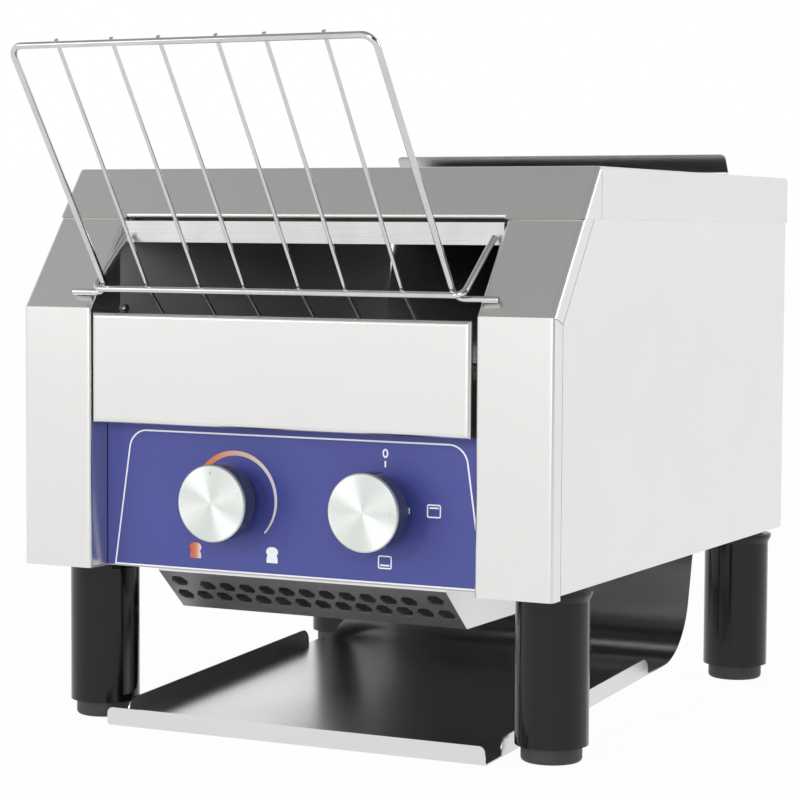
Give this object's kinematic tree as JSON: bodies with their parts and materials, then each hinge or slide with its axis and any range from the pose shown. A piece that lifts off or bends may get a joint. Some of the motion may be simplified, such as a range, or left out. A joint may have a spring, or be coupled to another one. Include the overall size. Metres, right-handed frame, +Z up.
{
  "type": "conveyor toaster",
  "caption": "Countertop conveyor toaster with a slanted front, sloping wire feed rack, two knobs, perforated vent under the front and a bent toast tray that slides out behind.",
  "frame": {"origin": "centre of the footprint of the whole object, on the surface that the feet stand on", "axes": "+Y from the front, where bread is fed in, to the back; +Z up; +X to the right seen from the front"},
  "size_m": [0.3698, 0.5384, 0.4287],
  "materials": {
    "front_steel": "fine satin grain",
    "inner_steel": "mill finish, heat tinted inside",
    "wire_steel": "bright plated",
    "panel_blue": "semi-gloss film with printed signs",
    "leg_plastic": "glossy black",
    "foot_rubber": "matt",
    "knob_plastic": "satin dark blue-grey",
    "knob_metal": "satin with a bright rim",
    "chain_steel": "oiled, darkened",
    "quartz": "clear quartz",
    "coil": "oxidised resistance wire",
    "ceramic": "unglazed steatite",
    "brass": "bare",
    "motor_paint": "black enamel",
    "dark_plastic": "matt black",
    "board_green": "circuit board",
    "terminal_white": "nylon",
    "zinc": "zinc plated"
  },
  "bodies": {
    "casing": {"top_cap": "front_steel", "column_right": "front_steel", "column_left": "front_steel", "side_panel_right": "front_steel", "side_panel_left": "front_steel", "rear_cover_right": "front_steel", "rear_cover_left": "front_steel", "base_panel": "inner_steel", "inner_wall_right": "inner_steel", "inner_wall_left": "inner_steel", "hot_plate": "front_steel", "opening_rail": "front_steel", "control_panel": "panel_blue", "vent_box": "inner_steel", "crumb_plate": "inner_steel", "upper_reflector": "inner_steel", "lower_reflector": "inner_steel", "quartz_tubes": "quartz", "heater_coils": "coil", "heater_ceramics": "ceramic", "heater_terminals": "brass", "shaft_bearings": "brass", "conveyor_chain_right": "chain_steel", "conveyor_chain_left": "chain_steel", "conveyor_wires": "inner_steel", "gear_motor": "motor_paint", "drive_chain": "chain_steel", "speed_potentiometer": "dark_plastic", "function_switch": "dark_plastic", "panel_nuts": "zinc", "fan_frame": "dark_plastic", "speed_board": "board_green", "terminal_block": "terminal_white", "cable_gland": "dark_plastic", "leg_bolts": "zinc", "rear_screws": "zinc", "wall_screws": "zinc", "legs": "leg_plastic"},
    "tray": {"toast_tray": "front_steel"},
    "rack": {"rack_frame": "wire_steel", "rack_bail": "wire_steel", "rack_wires": "wire_steel"},
    "speed_control": {"speed_knob": "knob_plastic", "speed_knob_cap": "knob_metal", "speed_spindle": "zinc"},
    "function_control": {"function_knob": "knob_plastic", "function_knob_cap": "knob_metal", "function_spindle": "zinc"},
    "front_roller": {"front_shaft": "zinc", "front_sprockets": "chain_steel", "shaft_drive_sprocket": "chain_steel"},
    "rear_roller": {"rear_shaft": "zinc", "rear_sprockets": "chain_steel"},
    "motor_output": {"motor_shaft": "zinc", "motor_sprocket": "chain_steel"},
    "fan": {"fan_rotor": "dark_plastic"},
    "front_left_foot": {"foot_front_left": "foot_rubber"},
    "front_right_foot": {"foot_front_right": "foot_rubber"},
    "rear_left_foot": {"foot_rear_left": "foot_rubber"},
    "rear_right_foot": {"foot_rear_right": "foot_rubber"}
  },
  "joints": [
    {"name": "tray_slide", "type": "slide", "parent": "casing", "child": "tray", "axis": [0, 1, 0], "range_m": [0, 0.42]},
    {"name": "rack_lift", "type": "slide", "parent": "casing", "child": "rack", "axis": [0, 0, 1], "range_m": [0, 0.12]},
    {"name": "speed_knob_turn", "type": "hinge", "parent": "casing", "child": "speed_control", "pos_m": [-0.0392, -0.16523, 0.151], "axis": [0, 1, 0], "range_deg": [-150, 150]},
    {"name": "function_knob_turn", "type": "hinge", "parent": "casing", "child": "function_control", "pos_m": [0.0653, -0.16523, 0.151], "axis": [0, 1, 0], "range_deg": [-90, 180]},
    {"name": "front_roller_spin", "type": "hinge", "parent": "casing", "child": "front_roller", "pos_m": [0, -0.10823, 0.214], "axis": [1, 0, 0], "continuous": true, "deforming": ["conveyor_chain_right", "conveyor_chain_left", "drive_chain"]},
    {"name": "rear_roller_spin", "type": "hinge", "parent": "casing", "child": "rear_roller", "pos_m": [0, 0.15848, 0.214], "axis": [1, 0, 0], "continuous": true},
    {"name": "motor_output_spin", "type": "hinge", "parent": "casing", "child": "motor_output", "pos_m": [0.146, -0.05352, 0.148], "axis": [1, 0, 0], "continuous": true},
    {"name": "fan_spin", "type": "hinge", "parent": "casing", "child": "fan", "pos_m": [0, -0.07022, 0.115], "axis": [0, 0, 1], "continuous": true},
    {"name": "front_left_foot_height", "type": "slide", "parent": "casing", "child": "front_left_foot", "axis": [0, 0, -1], "range_m": [0, 0.012]},
    {"name": "front_right_foot_height", "type": "slide", "parent": "casing", "child": "front_right_foot", "axis": [0, 0, -1], "range_m": [0, 0.012]},
    {"name": "rear_left_foot_height", "type": "slide", "parent": "casing", "child": "rear_left_foot", "axis": [0, 0, -1], "range_m": [0, 0.012]},
    {"name": "rear_right_foot_height", "type": "slide", "parent": "casing", "child": "rear_right_foot", "axis": [0, 0, -1], "range_m": [0, 0.012]}
  ],
  "couplings": [
    {"joint": "rear_roller_spin", "follows": "front_roller_spin", "ratio": 1},
    {"joint": "motor_output_spin", "follows": "front_roller_spin", "ratio": 1}
  ]
}
